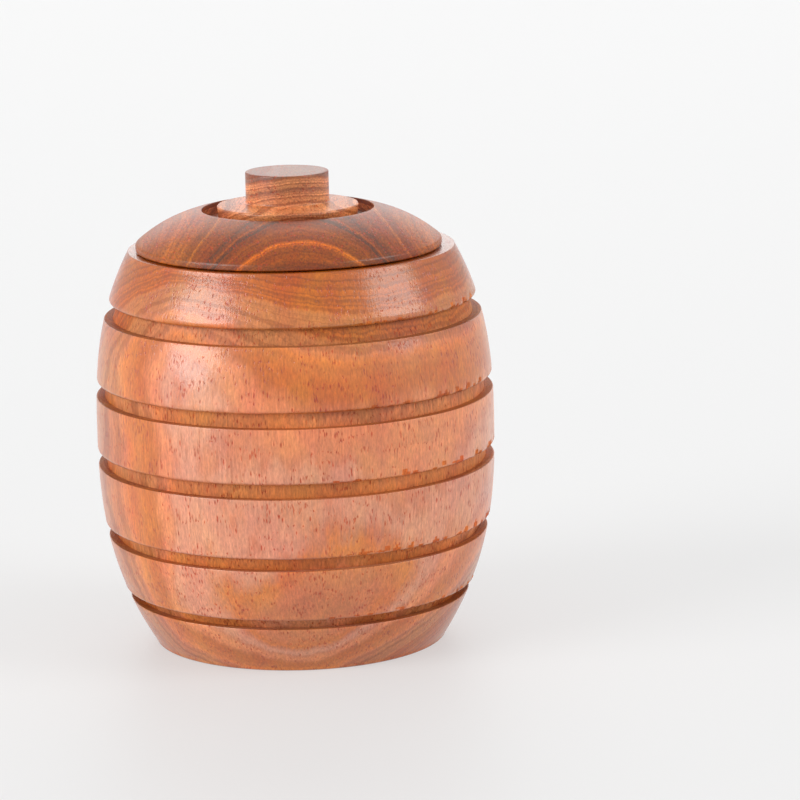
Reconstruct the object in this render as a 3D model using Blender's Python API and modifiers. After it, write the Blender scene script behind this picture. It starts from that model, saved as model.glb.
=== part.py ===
"""Turned wooden honey jar: a barrel body with five grooves and a domed lid with a knob.

Metres, +Z up, the origin in the middle of the flat foot. The body is a solid of
revolution about Z, and the lid sits on its rim a little to one side. Both are
outlines in the XZ plane, drawn from top to bottom and turned a full circle.
"""
import math

import bpy

# Barrel
BELLY_RADIUS = 0.05105
BELLY_HEIGHT = 0.0548
RIM_RADIUS = 0.0421
RIM_HEIGHT = 0.1010
SHOULDER_POWER = 2.7
FOOT_RADIUS = 0.0372
FOOT_POWER = 2.55
RIM_EDGE = 0.0004
FOOT_EDGE = 0.0006

# Grooves round the barrel: height of the lower lip, and opening from the lip up
GROOVES = (
    (0.0847, 0.0040),
    (0.0647, 0.0037),
    (0.0470, 0.0036),
    (0.0284, 0.0031),
    (0.0123, 0.0024),
)
GROOVE_DEPTH = 0.0023
BAND_EDGE = 0.0011

# Lid
GAP = 0.0003
LID_SHIFT = -0.0006
LID_RADIUS = 0.0390
LID_EDGE_HEIGHT = 0.0025
LID_EDGE_ROUND = 0.0005
DOME_POWER = 3.55
DOME_TOP = 0.11205
RING_RADIUS = 0.0219
RING_DEPTH = 0.0027
RING_SLOPE = 0.0004
COLLAR_RADIUS = 0.0180
COLLAR_TOP = 0.1131
COLLAR_EDGE = 0.0005
COLLAR_RISE = 0.0006
KNOB_RADIUS = 0.0106
KNOB_TOP = 0.1215
KNOB_EDGE = 0.0004
KNOB_FLARE = 0.0005

# Lacquered woods: the lid comes from a darker blank than the barrel
BODY_COLOUR = (0.58, 0.22, 0.10)
BODY_ROUGHNESS = 0.38
LID_COLOUR = (0.36, 0.13, 0.065)
LID_ROUGHNESS = 0.34

# Fineness of the turned faces
TURN_STEPS = 60
BARREL_STEP = 0.0050
DOME_POINTS = 7
ARC_POINTS = 2
MERGE_DISTANCE = 0.00001
SHARP_ANGLE = math.radians(32)


def barrel_radius(height):
    """Radius of the barrel at a height: fullest at the belly, drawn in to rim and foot."""
    if height > BELLY_HEIGHT:
        reach = (height - BELLY_HEIGHT) / (RIM_HEIGHT - BELLY_HEIGHT)
        return BELLY_RADIUS - (BELLY_RADIUS - RIM_RADIUS) * reach ** SHOULDER_POWER
    reach = (BELLY_HEIGHT - height) / BELLY_HEIGHT
    return BELLY_RADIUS - (BELLY_RADIUS - FOOT_RADIUS) * reach ** FOOT_POWER


def barrel_run(top, bottom):
    """Points down the barrel between two heights, both ends included."""
    count = max(1, round((top - bottom) / BARREL_STEP))
    heights = [top + (bottom - top) * i / count for i in range(count + 1)]
    return [(barrel_radius(height), height) for height in heights]


def arc(centre, radius, start, end):
    """Points of a round edge about a centre, from one angle to another in degrees."""
    points = []
    for i in range(ARC_POINTS + 1):
        angle = math.radians(start + (end - start) * i / ARC_POINTS)
        points.append((centre[0] + radius * math.cos(angle), centre[1] + radius * math.sin(angle)))
    return points


def groove(lip, opening):
    """Outline of one groove: rounded band edge, flat roof, wall, flat floor and crisp lip."""
    roof = lip + opening
    lip_radius = barrel_radius(lip)
    round_centre = (barrel_radius(roof + BAND_EDGE) - BAND_EDGE, roof + BAND_EDGE)
    points = arc(round_centre, BAND_EDGE, 0, -90)
    points.append((barrel_radius(roof) - GROOVE_DEPTH, roof))
    points.append((lip_radius - GROOVE_DEPTH, lip))
    points.append((lip_radius, lip))
    return points


def body_outline():
    """The jar from the middle of its top, down the barrel, to the middle of its foot."""
    points = [(0.0, RIM_HEIGHT)]
    points += arc((RIM_RADIUS - RIM_EDGE, RIM_HEIGHT - RIM_EDGE), RIM_EDGE, 90, 0)
    top = RIM_HEIGHT - RIM_EDGE
    for lip, opening in GROOVES:
        band_bottom = lip + opening + BAND_EDGE
        points += barrel_run(top, band_bottom)[1:-1]
        points += groove(lip, opening)
        top = lip
    points += barrel_run(top, FOOT_EDGE)[1:-1]
    points += arc((barrel_radius(FOOT_EDGE) - FOOT_EDGE, FOOT_EDGE), FOOT_EDGE, 0, -90)
    points.append((0.0, 0.0))
    return points


def dome_run(edge_top):
    """Points down the lid's dome, from the ring groove's rim to the top of the edge band."""
    inner = (RING_RADIUS / LID_RADIUS) ** DOME_POWER
    points = []
    for i in range(DOME_POINTS + 1):
        radius = RING_RADIUS + (LID_RADIUS - RING_RADIUS) * math.sin(math.pi / 2 * i / DOME_POINTS)
        fall = ((radius / LID_RADIUS) ** DOME_POWER - inner) / (1 - inner)
        points.append((radius, DOME_TOP - (DOME_TOP - edge_top) * fall))
    return points


def lid_outline():
    """The lid from the middle of its knob, over collar, ring groove and dome, to its underside."""
    underside = RIM_HEIGHT + GAP
    ring_floor = DOME_TOP - RING_DEPTH
    collar_foot = COLLAR_RADIUS - RING_SLOPE
    points = [(0.0, KNOB_TOP)]
    points += arc((KNOB_RADIUS - KNOB_EDGE, KNOB_TOP - KNOB_EDGE), KNOB_EDGE, 90, 0)
    points.append((KNOB_RADIUS, COLLAR_TOP + COLLAR_RISE + KNOB_FLARE))
    points.append((KNOB_RADIUS + KNOB_FLARE, COLLAR_TOP + COLLAR_RISE))
    points += arc((COLLAR_RADIUS - COLLAR_EDGE, COLLAR_TOP - COLLAR_EDGE), COLLAR_EDGE, 90, 0)
    points.append((collar_foot, ring_floor))
    points.append((RING_RADIUS - RING_SLOPE, ring_floor))
    points += dome_run(underside + LID_EDGE_HEIGHT)
    points += arc((LID_RADIUS - LID_EDGE_ROUND, underside + LID_EDGE_ROUND), LID_EDGE_ROUND, 0, -90)
    points.append((0.0, underside))
    return points


def wood(name, colour, roughness):
    """A lacquered wood with one plain colour."""
    material = bpy.data.materials.new(name)
    material.use_nodes = True
    shader = material.node_tree.nodes["Principled BSDF"]
    shader.inputs["Base Color"].default_value = (*colour, 1.0)
    shader.inputs["Roughness"].default_value = roughness
    shader.inputs["Metallic"].default_value = 0.0
    return material


def turned(name, outline, material, collection):
    """An object turned from an outline that runs down its outer side in the XZ plane."""
    mesh = bpy.data.meshes.new(name)
    edges = [(i, i + 1) for i in range(len(outline) - 1)]
    mesh.from_pydata([(radius, 0.0, height) for radius, height in outline], edges, [])
    mesh.materials.append(material)
    thing = bpy.data.objects.new(name, mesh)
    collection.objects.link(thing)
    screw = thing.modifiers.new("Turning", "SCREW")
    screw.axis = "Z"
    screw.angle = 2 * math.pi
    screw.steps = TURN_STEPS
    screw.render_steps = TURN_STEPS
    screw.use_merge_vertices = True
    screw.merge_threshold = MERGE_DISTANCE
    screw.use_smooth_shade = True
    return thing


def smooth_with_sharp_edges(thing):
    """Apply the turning, then shade the curved faces smooth and keep the crisp edges."""
    evaluated = thing.evaluated_get(bpy.context.evaluated_depsgraph_get())
    mesh = bpy.data.meshes.new_from_object(evaluated)
    mesh.name = thing.name
    thing.modifiers.clear()
    thing.data = mesh
    mesh.shade_smooth()
    mesh.set_sharp_from_angle(angle=SHARP_ANGLE)


def build():
    for thing in list(bpy.data.objects):
        bpy.data.objects.remove(thing, do_unlink=True)

    collection = bpy.data.collections.new("honey_jar")
    bpy.context.scene.collection.children.link(collection)

    body_wood = wood("lacquered_body_wood", BODY_COLOUR, BODY_ROUGHNESS)
    lid_wood = wood("lacquered_lid_wood", LID_COLOUR, LID_ROUGHNESS)

    body = turned("jar_body", body_outline(), body_wood, collection)
    lid = turned("lid", lid_outline(), lid_wood, collection)
    lid.location.x = LID_SHIFT
    for thing in (body, lid):
        smooth_with_sharp_edges(thing)


build()
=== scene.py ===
# %% [markdown]
# # A turned wooden honey jar
# The jar is two turned pieces of hardwood: a barrel with five grooves cut round it, and a domed lid
# with a knob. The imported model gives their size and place. This lesson turns finer copies of both
# over it, gives them lacquered wood with real growth rings, and lights them like a product photograph.

# %% The frame
import math

import bmesh
import bpy
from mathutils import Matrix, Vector, noise


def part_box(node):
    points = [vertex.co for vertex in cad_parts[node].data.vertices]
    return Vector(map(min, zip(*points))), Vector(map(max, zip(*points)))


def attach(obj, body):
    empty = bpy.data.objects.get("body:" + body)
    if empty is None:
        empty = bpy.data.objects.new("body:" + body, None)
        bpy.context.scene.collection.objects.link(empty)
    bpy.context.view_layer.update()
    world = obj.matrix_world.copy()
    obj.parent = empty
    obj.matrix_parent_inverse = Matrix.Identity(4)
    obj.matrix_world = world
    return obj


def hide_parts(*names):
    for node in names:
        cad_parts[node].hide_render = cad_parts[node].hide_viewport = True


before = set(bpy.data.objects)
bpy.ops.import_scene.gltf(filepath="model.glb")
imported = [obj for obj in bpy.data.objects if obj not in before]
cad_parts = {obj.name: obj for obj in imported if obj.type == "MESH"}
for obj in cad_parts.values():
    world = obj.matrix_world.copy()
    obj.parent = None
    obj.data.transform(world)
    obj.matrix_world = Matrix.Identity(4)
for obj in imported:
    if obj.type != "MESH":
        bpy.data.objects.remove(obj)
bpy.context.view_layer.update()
jar_low, jar_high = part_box("jar_body")
lid_low, lid_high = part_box("lid")
MM = 0.001
for node, low, high in (("jar_body", jar_low, jar_high), ("lid", lid_low, lid_high)):
    print(node, "is", [round(side / MM, 1) for side in high - low], "mm")

# %% [markdown]
# ## The barrel's curve
# The barrel is fullest at the belly and draws in to the rim and the foot. A power curve above and
# another below give that with two numbers each. The rim's height and the belly's radius come from the
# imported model, so that the finer copy lies on it.

# %% The barrel's curve
RIM_HEIGHT = jar_high.z
BELLY_RADIUS = jar_high.x
BELLY_HEIGHT = 54.8 * MM
RIM_RADIUS = 42.1 * MM
FOOT_RADIUS = 37.2 * MM
SHOULDER_POWER = 2.7
FOOT_POWER = 2.55


def barrel_radius(height):
    if height > BELLY_HEIGHT:
        reach = (height - BELLY_HEIGHT) / (RIM_HEIGHT - BELLY_HEIGHT)
        return BELLY_RADIUS - (BELLY_RADIUS - RIM_RADIUS) * reach ** SHOULDER_POWER
    reach = (BELLY_HEIGHT - height) / BELLY_HEIGHT
    return BELLY_RADIUS - (BELLY_RADIUS - FOOT_RADIUS) * reach ** FOOT_POWER


for place, height in (("rim", RIM_HEIGHT), ("belly", BELLY_HEIGHT), ("foot", 0.0)):
    print("radius at the", place, round(barrel_radius(height) / MM, 1), "mm")

# %% [markdown]
# ## Outlines to turn
# A lathe tool leaves straight runs, crisp lips and small round edges. An outline holds them as points
# in the XZ plane, from the top down, and round edges come from one arc function.

# %% Arcs and runs
ARC_POINTS = 6
RUN_STEP = 0.8 * MM


def arc(x, z, radius, start, end):
    angles = [math.radians(start + (end - start) * i / ARC_POINTS) for i in range(ARC_POINTS + 1)]
    return [(x + radius * math.cos(a), z + radius * math.sin(a)) for a in angles]


def run(start, end):
    """Points from start up to but not including end, close enough for fine relief."""
    count = max(1, round(math.dist(start, end) / RUN_STEP))
    return [tuple(a + (b - a) * i / count for a, b in zip(start, end)) for i in range(count)]


def barrel_run(top, bottom):
    count = max(1, round((top - bottom) / RUN_STEP))
    heights = [top + (bottom - top) * i / count for i in range(1, count)]
    return [(barrel_radius(height), height) for height in heights]


# %% [markdown]
# ## The grooves
# Each groove was cut with a square tool: a flat floor, a wall about 2.3 mm in, and a band above whose
# lower edge was rounded over with sandpaper. The lip below stayed crisp. They differ a little in
# height, because they were set out by eye. The barrel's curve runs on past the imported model's rim by
# 0.9 mm, to where the photograph has the rim.

# %% The body's outline
# Each groove: the height of its lip, and its opening from the lip up
GROOVES = tuple((lip * MM, opening * MM) for lip, opening in (
    (84.7, 4.0), (64.7, 3.7), (47.0, 3.6), (28.4, 3.1), (12.3, 2.4),
))
GROOVE_DEPTH = 2.3 * MM
BAND_EDGE = 1.1 * MM
LIP_EDGE = 0.15 * MM
RIM_TOP = RIM_HEIGHT + 0.9 * MM
RIM_EDGE = 0.4 * MM
FOOT_EDGE = 0.6 * MM


def groove(lip, opening):
    roof = lip + opening
    round_z = roof + BAND_EDGE
    wall_top = (barrel_radius(roof) - GROOVE_DEPTH, roof)
    wall_foot = (barrel_radius(lip) - GROOVE_DEPTH, lip)
    lip_x = barrel_radius(lip - LIP_EDGE) - LIP_EDGE
    points = arc(barrel_radius(round_z) - BAND_EDGE, round_z, BAND_EDGE, 0, -90)
    points += run(points.pop(), wall_top)
    points += run(wall_top, wall_foot)
    points += run(wall_foot, (lip_x, lip))
    return points + arc(lip_x, lip - LIP_EDGE, LIP_EDGE, 90, 0)


def body_outline():
    rim_radius = barrel_radius(RIM_TOP - RIM_EDGE)
    points = [(0.0, RIM_TOP)]
    points += arc(rim_radius - RIM_EDGE, RIM_TOP - RIM_EDGE, RIM_EDGE, 90, 0)
    top = RIM_TOP - RIM_EDGE
    for lip, opening in GROOVES:
        points += barrel_run(top, lip + opening + BAND_EDGE)
        points += groove(lip, opening)
        top = lip - LIP_EDGE
    points += barrel_run(top, FOOT_EDGE)
    points += arc(barrel_radius(FOOT_EDGE) - FOOT_EDGE, FOOT_EDGE, FOOT_EDGE, 0, -90)
    return points + [(0.0, 0.0)]


body_points = body_outline()
print("body outline:", len(body_points), "points")

# %% [markdown]
# ## The lid's outline
# The lid is one turning: the knob, a collar round it, a ring groove, the dome, a rounded shoulder and
# a thin straight edge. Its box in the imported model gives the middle, the radius and the top, and its
# underside goes up with the rim. It lies a little towards the front of the rim, as a loose lid does.

# %% The lid's outline
LID_SLIDE = 1.5 * MM
LID_MIDDLE = (lid_low + lid_high) / 2 - Vector((0, LID_SLIDE, 0))
LID_RADIUS = (lid_high.x - lid_low.x) / 2
LID_UNDERSIDE = lid_low.z + RIM_TOP - RIM_HEIGHT
KNOB_TOP = lid_high.z
LID_EDGE_HEIGHT = 1.6 * MM
LID_EDGE_ROUND = 0.4 * MM
LID_SHOULDER = 1.0 * MM
SHOULDER_ANGLE = 49
DOME_TOP = 112.05 * MM
DOME_POWER = 3.55
RING_RADIUS = 21.9 * MM
RING_DEPTH = 2.7 * MM
RING_SLOPE = 0.4 * MM
RING_EDGE = 0.25 * MM
COLLAR_RADIUS = 18.0 * MM
COLLAR_TOP = 113.1 * MM
COLLAR_EDGE = 0.5 * MM
COLLAR_RISE = 0.6 * MM
KNOB_RADIUS = 10.6 * MM
KNOB_EDGE = 0.4 * MM
KNOB_FLARE = 0.5 * MM
DOME_POINTS = 26


def dome_point(radius):
    edge_top = LID_UNDERSIDE + LID_EDGE_HEIGHT
    inner = (RING_RADIUS / LID_RADIUS) ** DOME_POWER
    fall = ((radius / LID_RADIUS) ** DOME_POWER - inner) / (1 - inner)
    return radius, DOME_TOP - (DOME_TOP - edge_top) * fall


def lid_outline():
    floor = DOME_TOP - RING_DEPTH
    collar_z = COLLAR_TOP + COLLAR_RISE
    points = run((0.0, KNOB_TOP), (KNOB_RADIUS - KNOB_EDGE, KNOB_TOP))
    points += arc(KNOB_RADIUS - KNOB_EDGE, KNOB_TOP - KNOB_EDGE, KNOB_EDGE, 90, 0)
    points += run(points.pop(), (KNOB_RADIUS, collar_z + KNOB_FLARE))
    points += arc(KNOB_RADIUS + KNOB_FLARE, collar_z + KNOB_FLARE, KNOB_FLARE, 180, 270)
    points += run(points.pop(), (COLLAR_RADIUS - COLLAR_EDGE, COLLAR_TOP))
    points += arc(COLLAR_RADIUS - COLLAR_EDGE, COLLAR_TOP - COLLAR_EDGE, COLLAR_EDGE, 90, 0)
    points += run(points.pop(), (COLLAR_RADIUS - RING_SLOPE, floor))
    points += run((COLLAR_RADIUS - RING_SLOPE, floor), (RING_RADIUS - RING_SLOPE, floor))
    points += run((RING_RADIUS - RING_SLOPE, floor), (RING_RADIUS, DOME_TOP - RING_EDGE))
    points += arc(RING_RADIUS + RING_EDGE, DOME_TOP - RING_EDGE, RING_EDGE, 180, 90)
    shoulder = LID_RADIUS - LID_SHOULDER * (1 - math.cos(math.radians(SHOULDER_ANGLE)))
    for i in range(1, DOME_POINTS + 1):
        reach = math.sin(math.pi / 2 * i / DOME_POINTS)
        points.append(dome_point(RING_RADIUS + RING_EDGE + (shoulder - RING_RADIUS - RING_EDGE) * reach))
    shoulder_z = points.pop()[1] - LID_SHOULDER * math.sin(math.radians(SHOULDER_ANGLE))
    points += arc(LID_RADIUS - LID_SHOULDER, shoulder_z, LID_SHOULDER, SHOULDER_ANGLE, 0)
    points += arc(LID_RADIUS - LID_EDGE_ROUND, LID_UNDERSIDE + LID_EDGE_ROUND, LID_EDGE_ROUND, 0, -90)
    return points + [(0.0, LID_UNDERSIDE)]


lid_points = lid_outline()
print("lid outline:", len(lid_points), "points")

# %% [markdown]
# ## Turning
# A wooden turning is a solid of revolution, so spinning an outline is the natural way. A fine spin
# takes long on a growing mesh, so a short spin makes one slice, and a full spin with use_merge copies
# the slice round. Merging the doubles closes the seams and the two poles on the axis. Faces can come
# out inside out, so the normals are worked out again afterwards.

# %% Turning an outline
SLICES = 16
SLICE_STEPS = 25
WELD = 0.001 * MM
SHARP = math.radians(40)


def turn(name, outline, middle):
    bm = bmesh.new()
    verts = [bm.verts.new((x, 0.0, z)) for x, z in outline]
    edges = [bm.edges.new(pair) for pair in zip(verts, verts[1:])]
    bmesh.ops.spin(bm, geom=verts + edges, axis=(0, 0, 1), angle=math.tau / SLICES, steps=SLICE_STEPS)
    slice_geom = bm.verts[:] + bm.edges[:] + bm.faces[:]
    bmesh.ops.spin(bm, geom=slice_geom, axis=(0, 0, 1), angle=math.tau, steps=SLICES,
                   use_duplicate=True, use_merge=True)
    bmesh.ops.remove_doubles(bm, verts=bm.verts, dist=WELD)
    bmesh.ops.recalc_face_normals(bm, faces=bm.faces)
    bmesh.ops.translate(bm, verts=bm.verts, vec=(middle.x, middle.y, 0))
    mesh = bpy.data.meshes.new(name)
    bm.to_mesh(mesh)
    bm.free()
    mesh.shade_smooth()
    mesh.set_sharp_from_angle(angle=SHARP)
    piece = bpy.data.objects.new(name, mesh)
    bpy.context.scene.collection.objects.link(piece)
    return piece


body = turn("turned_body", body_points, Vector((0, 0, 0)))
lid = turn("turned_lid", lid_points, LID_MIDDLE)
for piece, node, slot in ((body, "jar_body", "body_wood"), (lid, "lid", "lid_wood")):
    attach(piece, "root")
    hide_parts(node)
    print(piece.name, sum(len(p.vertices) - 2 for p in piece.data.polygons), "triangles")

# %% [markdown]
# ## Torn edges
# Where the tool met the fibres head on, which is on one side of the jar, small chips tore out of the
# lower edges of the bands. The vertices near those edges go in by a noise that is stretched down the
# fibres. Only the noise above a level counts, and it grows from nothing at the jar's front to its full
# value at the right, so the rest of the edges stays whole. Real chips are finer: these are as coarse as
# the picture needs to show them.

# %% Torn edges
TEAR_HEIGHT = 2.4 * MM
TEAR_DEPTH = 0.9 * MM
TEAR_SIZE = 1.1 * MM
TEAR_STRETCH = 4
TEAR_LEVEL = 0.02
TEAR_FULL = 0.5
TEAR_SHOWS = 0.12 * MM

torn = set()
for vertex in body.data.vertices:
    x, y, z = vertex.co
    radius = math.hypot(x, y)
    above = min((z - lip - opening for lip, opening in GROOVES if z > lip + opening - WELD),
                default=TEAR_HEIGHT)
    if above >= TEAR_HEIGHT or barrel_radius(z) - radius > BAND_EDGE:
        continue
    right_side = max(0.0, x / radius)
    tear = noise.noise(Vector((x, y, z / TEAR_STRETCH)) / TEAR_SIZE) * right_side - TEAR_LEVEL
    if tear > 0:
        sink = TEAR_DEPTH * min(tear / TEAR_FULL, 1.0) * (1 - above / TEAR_HEIGHT)
        vertex.co = (x * (1 - sink / radius), y * (1 - sink / radius), z)
        if sink > TEAR_SHOWS:
            torn.add(vertex.index)
print(len(torn), "vertices in torn edges")

# %% [markdown]
# ## Colours and nodes
# Colours are written as sRGB hex values, as a picker shows them, and one function turns them to the
# linear values that the shader needs. One small function adds a node with its settings and links.

# %% Colour and node helpers


def linear(hex_colour):
    """Linear light of an sRGB hex value, by the curve of the sRGB standard."""
    channels = [int(hex_colour[i:i + 2], 16) / 255 for i in (1, 3, 5)]
    return [c / 12.92 if c <= 0.04045 else ((c + 0.055) / 1.055) ** 2.4 for c in channels] + [1.0]


def add(tree, kind, inputs, **settings):
    """Add a node, set its properties, and feed its sockets, by name or number."""
    node = tree.nodes.new(kind)
    for name, value in settings.items():
        setattr(node, name, value)
    sockets = [socket for socket in node.inputs if socket.enabled]
    for key, source in inputs.items():
        socket = sockets[key] if isinstance(key, int) else next(s for s in sockets if s.name == key)
        if isinstance(source, bpy.types.Node):
            source = next(s for s in source.outputs if s.enabled)
        if isinstance(source, bpy.types.NodeSocket):
            tree.links.new(source, socket)
        else:
            socket.default_value = source
    return node


print("mid grey in linear light:", [round(c, 3) for c in linear("#808080")])

# %% [markdown]
# ## A blank of sheesham
# Both pieces were turned from sheesham, a rosewood. Its fibres run one way, and its growth rings are
# shells round the pith. So the figure on any face follows from how far each point lies from the pith:
# level lines where the rings are cut along, wide flames where the face runs along a ring. A few smooth
# swells near old knots bend the rings, as they bend on the real jar, and at its left they fall away.
# A blank can also be painted darker towards one end, and the barrel's foot gets this painted shade.

# %% Two blanks
# Millimetres and degrees, seen along the grain: the fibres run up, and a turn brings them upright.
# knots: rise of the rings, reach and place; bends: X from, X to and rise; painted shade: Z from, Z to and
# shade
BODY_BLANK = {
    "turn": (0.0, 0.0, 0.0),
    "fibre": (0.0, 0.0, 1.0),
    "pith": (0.31, 0.98, 50.0),
    "lean": (-0.029, -0.035, 1.0),
    "knots": (
        (1.75, 49.0, (43.3, -11.7, 29.7)),
        (7.77, 47.6, (-16.0, -18.2, 86.5)),
        (7.42, 52.4, (-13.1, -22.2, 0.4)),
        (5.70, 47.9, (14.7, -35.8, 5.5)),
    ),
    "bends": ((-30.0, -50.0, -4.0),),
    # Painted shade: the barrel's wood is painted darker from 28 mm down to 6 mm above the foot
    "painted_shade": ((28.0, 6.0, 0.87),),
}
LID_BLANK = {
    "turn": (90.0, 0.0, 0.0),
    "fibre": (0.0, 1.0, 0.0),
    "pith": (2.0, -85.1, 0.0),
    "lean": (0.0, 0.0, 1.0),
    "knots": (),
    "bends": (),
    "painted_shade": (),
}
print("blanks with", len(BODY_BLANK["knots"]), "and", len(LID_BLANK["knots"]), "knots")

# %% [markdown]
# ## Growth rings
# The ring depth is each point's distance from the line of the pith, and a cross product gives that.
# The knots and bends are added to it. Three noises make it wander: a slow one, one as wide as the
# streaks, and one as fine as the fibres, which frays the edge of every ring.

# %% Growth rings
# Each wander: its size across the fibres and along them, and how far it shifts the rings, in millimetres
WANDERS = ((30.0, 30.0, 0.5), (5.0, 9.0, 0.35), (0.6, 9.0, 0.14))


def ring_depth(tree, grain, axes, blank):
    """Distance from the pith in millimetres, bent by knots and bends and by the fibres' wander."""
    from_pith = add(tree, "ShaderNodeVectorMath", {0: grain, 1: blank["pith"]}, operation="SUBTRACT")
    lean = Vector(blank["lean"]).normalized()
    across = add(tree, "ShaderNodeVectorMath", {0: from_pith, 1: lean}, operation="CROSS_PRODUCT")
    depth = add(tree, "ShaderNodeVectorMath", {0: across}, operation="LENGTH")
    shifts = []
    for rise, reach, place in blank["knots"]:
        gap = add(tree, "ShaderNodeVectorMath", {0: grain, 1: place}, operation="DISTANCE")
        shifts.append(add(tree, "ShaderNodeMapRange",
                          {"Value": gap, "From Max": reach, "To Min": rise, "To Max": 0.0},
                          interpolation_type="SMOOTHERSTEP"))
    for near, far, rise in blank["bends"]:
        shifts.append(add(tree, "ShaderNodeMapRange", {"Value": axes.outputs["X"], "From Min": near,
                                                       "From Max": far, "To Max": rise}))
    for across_size, along_size, amount in WANDERS:
        stretch = (1 / across_size, 1 / across_size, 1 / along_size)
        place = add(tree, "ShaderNodeMapping", {"Vector": grain, "Scale": stretch})
        drift = add(tree, "ShaderNodeTexNoise", {"Vector": place, "Scale": 1.0, "Detail": 1.0})
        shifts.append(add(tree, "ShaderNodeMapRange",
                          {"Value": drift, "To Min": -amount, "To Max": amount}))
    for shift in shifts:
        depth = add(tree, "ShaderNodeMath", {0: depth, 1: shift}, operation="ADD")
    return depth


print(len(WANDERS), "wanders of the rings")

# %% [markdown]
# ## Tones of the heartwood
# The heartwood has only a few tones, and the broad zones of its figure are those few in turn, along the
# ring depth. So each wood is a small set of named tones and a list of rings, each a depth in millimetres
# and the name of its tone. The lid's blank is darker, with a few orange rings. The knob stands up
# through paler rings of the same blank, so it has tones of its own. Torn fibres took up more lacquer
# than sanded ones, and are redder.

# %% Tones of the heartwood
BARREL_WOOD = {
    "rust": "#A64D1B", "russet": "#AE5527", "tan": "#B0653F", "salmon": "#BA6B4A", "orange": "#C06A3D",
    "amber": "#BD6436", "pale salmon": "#C47552", "rose": "#BC7B63", "clay": "#B36B50",
}
BARREL_RINGS = (
    (34.0, "rust"), (37.0, "russet"), (40.0, "rust"), (42.4, "russet"), (43.0, "rust"), (43.6, "rust"),
    (44.1, "russet"), (44.5, "rust"), (45.0, "russet"), (46.0, "russet"), (46.5, "tan"), (48.0, "tan"),
    (48.9, "salmon"), (49.4, "orange"), (49.9, "orange"), (50.2, "amber"), (50.7, "amber"),
    (51.15, "salmon"), (51.5, "pale salmon"), (51.75, "clay"), (51.95, "rose"), (52.15, "rose"),
    (52.35, "clay"), (52.6, "orange"), (53.1, "salmon"),
)
LID_WOOD = {
    "nut brown": "#904A22", "umber": "#86441F", "dark umber": "#773C1E", "black-brown": "#573220",
    "amber": "#A7582C", "gold": "#B5672F", "orange": "#C1662F",
}
LID_RINGS = (
    (8.0, "nut brown"), (14.0, "nut brown"), (18.5, "umber"), (21.0, "nut brown"), (22.5, "nut brown"),
    (22.8, "orange"), (23.3, "orange"), (23.7, "umber"), (25.5, "nut brown"), (26.9, "dark umber"),
    (27.3, "black-brown"), (27.9, "black-brown"), (28.1, "amber"), (28.4, "dark umber"),
    (29.5, "black-brown"), (30.5, "umber"), (32.7, "umber"), (33.1, "gold"), (33.5, "umber"),
    (34.5, "umber"), (36.0, "amber"), (36.8, "nut brown"), (38.0, "amber"), (42.0, "nut brown"),
)
KNOB_WOOD = {
    "tan": "#B27150", "salmon": "#C67F56", "pale salmon": "#D1885F", "brown": "#985F44",
    "dark brown": "#7D5241",
}
KNOB_RINGS = (
    (26.0, "tan"), (28.2, "salmon"), (29.2, "pale salmon"), (30.6, "salmon"), (31.8, "pale salmon"),
    (32.6, "tan"), (33.2, "brown"), (33.8, "salmon"), (35.0, "pale salmon"), (36.1, "tan"),
    (36.4, "dark brown"), (38.0, "dark brown"),
)
TORN_WOOD_TONES = {"brick": "#B04A20", "terracotta": "#C05A2C", "dark terracotta": "#B44C22"}
TORN_RINGS = ((34.0, "brick"), (47.0, "terracotta"), (53.1, "dark terracotta"))


def ring_tones(wood, rings):
    """Tones at depths, from the names of a wood's tones."""
    return [(depth, wood[tone]) for depth, tone in rings]


BODY_TONES = ring_tones(BARREL_WOOD, BARREL_RINGS)
LID_TONES = ring_tones(LID_WOOD, LID_RINGS)
KNOB_TONES = ring_tones(KNOB_WOOD, KNOB_RINGS)
TORN_TONES = ring_tones(TORN_WOOD_TONES, TORN_RINGS)


def heartwood(tree, depth, tones):
    """Colour at each ring depth, from tones at depths in millimetres."""
    first, last = tones[0][0], tones[-1][0]
    zone = add(tree, "ShaderNodeMapRange", {"Value": depth, "From Min": first, "From Max": last})
    ramp = add(tree, "ShaderNodeValToRGB", {"Fac": zone})
    stops = ramp.color_ramp.elements
    stops[0].color = linear(tones[0][1])
    stops[-1].color = linear(tones[-1][1])
    for at, tone in tones[1:-1]:
        stops.new((at - first) / (last - first)).color = linear(tone)
    return ramp


print("tones:", len(BARREL_WOOD), "barrel,", len(LID_WOOD), "lid,", len(KNOB_WOOD), "knob")

# %% [markdown]
# ## Noises of the grain
# Wood varies at every size, and faster across the fibres than along them. Noise textures on cells that
# are stretched along the grain give its fibres, flecks and blotches, and squat cells give the arches in
# which the pores gather. Two more noises read the ring depth alone, so they follow the rings: fine
# growth lines and wider zones. Real growth lines lie closer, about 0.45 mm apart, and are drawn wider
# here because lines that fine wouldn't show in the picture.

# %% Noises of the grain
# Cells in millimetres, across the fibres twice and then along them
GRAIN_SIZES = {
    "blotch": (9.0, 9.0, 16.0),
    "arch": (18.0, 18.0, 8.0),
    "fibre": (0.6, 0.6, 9.0),
    "fleck": (0.45, 0.45, 1.5),
}
RING_PERIODS = {"line": 0.70, "zone": 1.5}
NOISE_DETAIL = {"Scale": 1.0, "Detail": 2.0, "Roughness": 0.6}
NOISE_LOW, NOISE_HIGH = 0.25, 0.75


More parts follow.
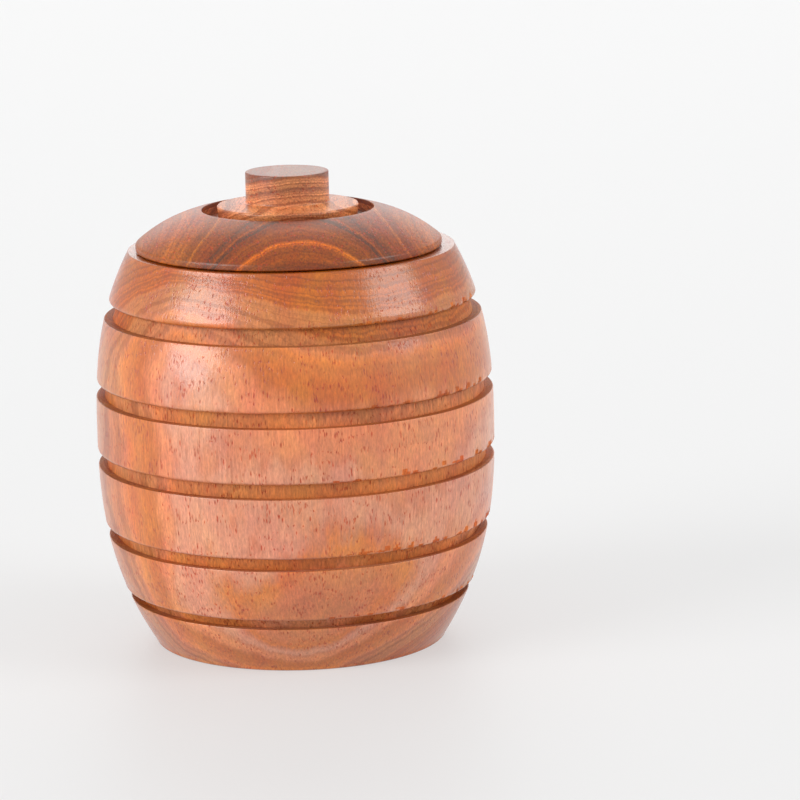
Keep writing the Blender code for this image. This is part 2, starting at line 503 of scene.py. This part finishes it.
def grain_noises(tree, grain, depth):
    """Noise textures by name: first those along the fibres, then those that follow the rings."""
    noises = {}
    for label, size in GRAIN_SIZES.items():
        cell = add(tree, "ShaderNodeMapping", {"Vector": grain, "Scale": [1 / side for side in size]})
        noises[label] = add(tree, "ShaderNodeTexNoise", {"Vector": cell, **NOISE_DETAIL})
    for label, period in RING_PERIODS.items():
        count = add(tree, "ShaderNodeMath", {0: depth, 1: 1 / period}, operation="MULTIPLY")
        noises[label] = add(tree, "ShaderNodeTexNoise", {"W": count, **NOISE_DETAIL},
                            noise_dimensions="1D")
    return noises


def swing(middle, amount):
    """Limits that turn the usual span of a noise into a middle value, more or less an amount."""
    return {"From Min": NOISE_LOW, "From Max": NOISE_HIGH,
            "To Min": middle - amount, "To Max": middle + amount}


print("noises:", ", ".join([*GRAIN_SIZES, *RING_PERIODS]))

# %% [markdown]
# ## Growth lines and pores
# Dark lines of soft tissue run along the rings. They are clear at the barrel's shoulder and sides, and
# faint in the deep rings of its front, so they fade with the ring depth. Pores are the cut vessels of
# the tree, which show as red-brown dashes along the grain and as dots across it. A Voronoi texture
# scatters them, and most lie in thin, ragged arches. A real vessel is 0.2 to 0.3 mm wide. These are
# drawn about 0.5 mm wide, which is two dots of the picture, so that they show.

# %% Growth lines and pores
LINE_TONE = "#7E3A18"
LINE_EDGE = (0.49, 0.59)
LINE_STRENGTH = 0.55
LINE_FADE = (47.8, 49.8)
LINE_FAINTEST = 0.15
PORE_TONE = "#9C300E"
PORE_SPACING = (0.6, 0.6, 2.2)
PORE_EDGE = (0.19, 0.494)
ARCH_STEP = 0.095
ARCH_RAGGED = 0.3
ARCH_EDGE = (0.012, 0.032)
PORES_BETWEEN = 0.03


def growth_lines(tree, depth, noises):
    """Strength of the growth lines: a band of their noise, fainter where the rings are deep."""
    line = add(tree, "ShaderNodeMapRange", {"Value": noises["line"], "From Min": LINE_EDGE[0],
                                            "From Max": LINE_EDGE[1], "To Max": LINE_STRENGTH})
    fade = add(tree, "ShaderNodeMapRange", {"Value": depth, "From Min": LINE_FADE[0],
                                            "From Max": LINE_FADE[1],
                                            "To Min": 1.0, "To Max": LINE_FAINTEST})
    return add(tree, "ShaderNodeMath", {0: line, 1: fade}, operation="MULTIPLY")


def pores(tree, grain, noises):
    """Strength of the pores: soft-edged cells along the grain, most of them within the arches."""
    cell = add(tree, "ShaderNodeMapping", {"Vector": grain, "Scale": [1 / side for side in PORE_SPACING]})
    gap = add(tree, "ShaderNodeTexVoronoi", {"Vector": cell, "Scale": 1.0})
    pore = add(tree, "ShaderNodeMapRange", {"Value": gap, "From Min": PORE_EDGE[0],
                                            "From Max": PORE_EDGE[1], "To Min": 1.0, "To Max": 0.0})
    ragged = add(tree, "ShaderNodeMath", {0: noises["fibre"], 1: ARCH_RAGGED, 2: noises["arch"]},
                 operation="MULTIPLY_ADD")
    rung = add(tree, "ShaderNodeMath", {0: ragged, 1: ARCH_STEP}, operation="PINGPONG")
    share = add(tree, "ShaderNodeMapRange", {"Value": rung, "From Min": ARCH_EDGE[0],
                                             "From Max": ARCH_EDGE[1],
                                             "To Min": 1.0, "To Max": PORES_BETWEEN})
    return add(tree, "ShaderNodeMath", {0: pore, 1: share}, operation="MULTIPLY")


print("pores every", PORE_SPACING[0], "mm across the grain and", PORE_SPACING[2], "mm along it")

# %% [markdown]
# ## Light and dark wood
# The cut ends of fibres soak up lacquer, so a face across the grain is darker. The dot product of the
# face's normal and the fibres' direction tells how far it lies across. The painted shade towards the
# foot and the swings of the noises are factors too, and their product is the wood's brightness.

# %% Light and dark wood
END_GRAIN = (0.3, 1.0)
END_SHADE = 0.75
SWINGS = {"fibre": 0.16, "zone": 0.14, "blotch": 0.05, "arch": 0.07}


def brightness(tree, coordinates, axes, blank, noises, finish):
    """Brightness of the wood, from its finish, its end grain, its painted shade towards the foot and its
    noises.
    """
    ends = add(tree, "ShaderNodeVectorMath", {0: coordinates.outputs["Normal"], 1: blank["fibre"]},
               operation="DOT_PRODUCT")
    across = add(tree, "ShaderNodeMath", {0: ends}, operation="ABSOLUTE")
    bright = add(tree, "ShaderNodeMapRange", {"Value": across, "From Min": END_GRAIN[0],
                                              "From Max": END_GRAIN[1], "To Min": finish["shade"],
                                              "To Max": finish["shade"] * END_SHADE})
    factors = []
    # Painted shade: darker from one height to another, towards the barrel's foot
    for shade_starts, shade_full, shade in blank["painted_shade"]:
        factors.append(add(tree, "ShaderNodeMapRange",
                           {"Value": axes.outputs["Z"], "From Min": shade_starts, "From Max": shade_full,
                            "To Min": 1.0, "To Max": shade}))
    for label, amount in {**SWINGS, "fleck": finish["fleck"]}.items():
        factors.append(add(tree, "ShaderNodeMapRange", {"Value": noises[label], **swing(1, amount)}))
    for factor in factors:
        bright = add(tree, "ShaderNodeMath", {0: bright, 1: factor}, operation="MULTIPLY")
    return bright


print("end grain is", END_SHADE, "times as bright as side grain")

# %% [markdown]
# ## Wood materials
# The bands and the lid are sanded and have a satin lacquer: wood of middling roughness under a thin,
# smoother coat, which gives the broad sheen. The lid's coat is thinner. The grooves are as the tool
# left them, rough and without a coat, and so are the torn edges. The IOR stays at its default of 1.5,
# which suits both wood and lacquer. Fibres and pores are too shallow for the mesh, so a bump gives
# them.

# %% Wood materials
POLISHED = {"roughness": 0.45, "coat": 0.75, "hue": 0.5055, "saturation": 1.05, "shade": 1.22,
            "relief": 0.045 * MM, "fleck": 0.22}
LID_POLISH = {"roughness": 0.45, "coat": 0.2, "hue": 0.5, "saturation": 1.06, "shade": 1.2,
              "relief": 0.045 * MM, "fleck": 0.42}
RAW_CUT = {"roughness": 0.62, "coat": 0.0, "hue": 0.508, "saturation": 1.02, "shade": 1.19,
           "relief": 0.10 * MM, "fleck": 0.3}
COAT_ROUGHNESS = 0.17
HUE_SWING = 0.008
ROUGHNESS_SWING = 0.04


def turned_wood(name, blank, tones, finish):
    """A material of one blank, with the tones of one part of it and one finish."""
    material = bpy.data.materials.new(name)
    material.use_nodes = True
    tree = material.node_tree
    tree.nodes.clear()
    coordinates = add(tree, "ShaderNodeTexCoord", {})
    angles = [math.radians(angle) for angle in blank["turn"]]
    grain = add(tree, "ShaderNodeMapping", {"Vector": coordinates.outputs["Object"],
                                            "Scale": (1 / MM,) * 3, "Rotation": angles})
    axes = add(tree, "ShaderNodeSeparateXYZ", {0: grain})
    depth = ring_depth(tree, grain, axes, blank)
    noises = grain_noises(tree, grain, depth)
    line_mark = growth_lines(tree, depth, noises)
    pore_mark = pores(tree, grain, noises)

    colour = heartwood(tree, depth, tones)
    for mark, tone in ((line_mark, LINE_TONE), (pore_mark, PORE_TONE)):
        colour = add(tree, "ShaderNodeMix", {"Factor": mark, "A": colour, "B": linear(tone)},
                     data_type="RGBA")
    hue = add(tree, "ShaderNodeMapRange",
              {"Value": noises["blotch"], **swing(finish["hue"], HUE_SWING)})
    bright = brightness(tree, coordinates, axes, blank, noises, finish)
    colour = add(tree, "ShaderNodeHueSaturation", {"Hue": hue, "Saturation": finish["saturation"],
                                                   "Value": bright, "Color": colour})

    rough = add(tree, "ShaderNodeMapRange",
                {"Value": noises["fibre"], **swing(finish["roughness"], ROUGHNESS_SWING)})
    height = add(tree, "ShaderNodeMath", {0: noises["fibre"], 1: pore_mark}, operation="SUBTRACT")
    relief = add(tree, "ShaderNodeBump",
                 {"Strength": 1.0, "Distance": finish["relief"], "Height": height})
    shader = add(tree, "ShaderNodeBsdfPrincipled",
                 {"Base Color": colour, "Roughness": rough, "Normal": relief,
                  "Coat Weight": finish["coat"], "Coat Roughness": COAT_ROUGHNESS, "Coat Normal": relief})
    add(tree, "ShaderNodeOutputMaterial", {"Surface": shader})
    print(name, len(tree.nodes), "nodes")
    return material


body_woods = (
    turned_wood("satin-lacquered turned sheesham", BODY_BLANK, BODY_TONES, POLISHED),
    turned_wood("tool-cut sheesham in the grooves", BODY_BLANK, BODY_TONES, RAW_CUT),
    turned_wood("torn fibres of sheesham", BODY_BLANK, TORN_TONES, RAW_CUT),
)
lid_woods = (
    turned_wood("satin-lacquered darker sheesham", LID_BLANK, LID_TONES, LID_POLISH),
    turned_wood("satin-lacquered sheesham of the knob", LID_BLANK, KNOB_TONES, LID_POLISH),
)
for piece, woods in ((body, body_woods), (lid, lid_woods)):
    for wood in woods:
        piece.data.materials.append(wood)

# %% [markdown]
# ## Which face has which wood
# Sandpaper and lacquer reach the bands but hardly the grooves, which keep the matt, torn face that the
# tool left. So the faces well inside the barrel's curve get the rougher material, and the torn edges
# get the redder one. On the lid, the faces inside the ring groove and above its floor are the knob's.

# %% Faces of each wood
CUT_SLOT, TORN_SLOT, KNOB_SLOT = 1, 2, 1
CUT_DEPTH = 0.3 * MM
GROOVE_MARGIN = 0.01 * MM
KNOB_MARGIN = 0.2 * MM

for face in body.data.polygons:
    middle = face.center
    radius = math.hypot(middle.x, middle.y)
    in_groove = any(-GROOVE_MARGIN < middle.z - lip < opening + GROOVE_MARGIN for lip, opening in GROOVES)
    if in_groove and barrel_radius(middle.z) - radius > CUT_DEPTH:
        face.material_index = CUT_SLOT
    elif len(torn.intersection(face.vertices)) > 1:
        face.material_index = TORN_SLOT
print(sum(face.material_index > 0 for face in body.data.polygons), "faces in the grooves and torn edges")

for face in lid.data.polygons:
    middle = face.center - LID_MIDDLE
    inside_ring = math.hypot(middle.x, middle.y) < RING_RADIUS - KNOB_MARGIN
    if inside_ring and face.center.z > DOME_TOP - RING_DEPTH + KNOB_MARGIN:
        face.material_index = KNOB_SLOT
print(sum(face.material_index > 0 for face in lid.data.polygons), "faces on the knob and its collar")

# %% [markdown]
# ## Floor
# The jar stands on a plain sheet of white acrylic that is lit from below as well, as for catalogue
# pictures, so its shadow stays faint. It runs far back, and every ray that misses the jar ends on it.
# A faint gloss gives the soft reflection under the foot.

# %% Floor
FLOOR_SIZE = 12.0
FLOOR_DROP = 0.05 * MM

floor_bm = bmesh.new()
bmesh.ops.create_grid(floor_bm, x_segments=1, y_segments=1, size=FLOOR_SIZE / 2)
bmesh.ops.translate(floor_bm, verts=floor_bm.verts, vec=(0, 0, -FLOOR_DROP))
floor_mesh = bpy.data.meshes.new("white_sheet")
floor_bm.to_mesh(floor_mesh)
floor_bm.free()
floor = bpy.data.objects.new("white_sheet", floor_mesh)
bpy.context.scene.collection.objects.link(floor)
print("floor", FLOOR_SIZE, "m wide")

# %% [markdown]
# ## White acrylic
# Satin acrylic is a plain, faintly glossy white. Its glow stands for the lamps below it. The photograph's
# backdrop is a trace brighter far behind than near the camera, so the white is painted a trace darker
# at the front than at the back: a painted falloff of light.

# %% White acrylic
SHEET_GLOW = 0.46
# A trace of painted shade: the sheet's white is darker near the camera than far back
SHEET_NEAR, SHEET_FAR = "#989898", "#9A9A9A"
SHEET_FADE = (-0.6, 1.2)
SHEET_ROUGHNESS = 0.55
SHEET_GLOSS = 0.2

acrylic = bpy.data.materials.new("backlit white acrylic sheet")
acrylic.use_nodes = True
tree = acrylic.node_tree
tree.nodes.clear()
sheet_place = add(tree, "ShaderNodeTexCoord", {})
sheet_axes = add(tree, "ShaderNodeSeparateXYZ", {0: sheet_place.outputs["Object"]})
back = add(tree, "ShaderNodeMapRange", {"Value": sheet_axes.outputs["Y"],
                                        "From Min": SHEET_FADE[0], "From Max": SHEET_FADE[1]})
white = add(tree, "ShaderNodeMix", {"Factor": back, "A": linear(SHEET_NEAR), "B": linear(SHEET_FAR)},
            data_type="RGBA")
sheet_shader = add(tree, "ShaderNodeBsdfPrincipled",
                   {"Base Color": white, "Roughness": SHEET_ROUGHNESS, "Specular IOR Level": SHEET_GLOSS,
                    "Emission Color": (1, 1, 1, 1), "Emission Strength": SHEET_GLOW})
add(tree, "ShaderNodeOutputMaterial", {"Surface": sheet_shader})
floor_mesh.materials.append(acrylic)
print(acrylic.name, len(tree.nodes), "nodes")

# %% [markdown]
# ## Light
# Product photographs like this one are lit by white walls and large softboxes. A white world gives the
# even base. Sun lamps with a wide angle stand for the softboxes: they are soft, and unlike a lamp near
# the jar they light the whole sheet evenly. The left one is the main light, the right one fills, and
# the one behind gives the pale sheen on the lid, the knob and the rim. World and lamps add up to the
# brightness of the photograph, and the plain "Standard" view keeps its colours as they are.

# %% Light
WORLD_STRENGTH = 0.62
# Each softbox: its azimuth from the front, elevation and angular width in degrees, and its strength
SOFTBOXES = (
    ("left_softbox", -62, 20, 38, 2.1),
    ("right_softbox", 74, 26, 34, 1.2),
    ("back_softbox", 178, 26, 50, 0.62),
)

world = bpy.data.worlds.new("white_studio")
bpy.context.scene.world = world
world.use_nodes = True
world.node_tree.nodes["Background"].inputs["Color"].default_value = (1, 1, 1, 1)
world.node_tree.nodes["Background"].inputs["Strength"].default_value = WORLD_STRENGTH

for name, azimuth, elevation, width, strength in SOFTBOXES:
    turn_by, rise = math.radians(azimuth), math.radians(elevation)
    level = Vector((math.sin(turn_by), -math.cos(turn_by), 0))
    towards = level * math.cos(rise) + Vector((0, 0, math.sin(rise)))
    lamp = bpy.data.lights.new(name, "SUN")
    lamp.angle = math.radians(width)
    lamp.energy = strength
    softbox = bpy.data.objects.new(name, lamp)
    softbox.rotation_euler = towards.to_track_quat("Z", "Y").to_euler()
    bpy.context.scene.collection.objects.link(softbox)
bpy.context.scene.view_settings.view_transform = "Standard"
print(len(SOFTBOXES), "softboxes")

# %% [markdown]
# ## Camera
# The photograph was taken with a long lens from a little above. The place and the three angles put the
# rim, the belly and the foot where the photograph has them; the small roll is in the photograph too.

# %% Camera
CAMERA_PLACE = Vector((0.0, -1007.8, 268.8)) * MM
CAMERA_TURN = (78.349, 1.212, -1.780)
LENS = 180.0
SENSOR_WIDTH = 36.0

camera_data = bpy.data.cameras.new("long_lens")
camera_data.lens = LENS
camera_data.sensor_width = SENSOR_WIDTH
camera = bpy.data.objects.new("long_lens", camera_data)
camera.location = CAMERA_PLACE
camera.rotation_euler = [math.radians(angle) for angle in CAMERA_TURN]
bpy.context.scene.collection.objects.link(camera)
bpy.context.scene.camera = camera
print("camera", round(camera.location.length, 3), "m from the foot")
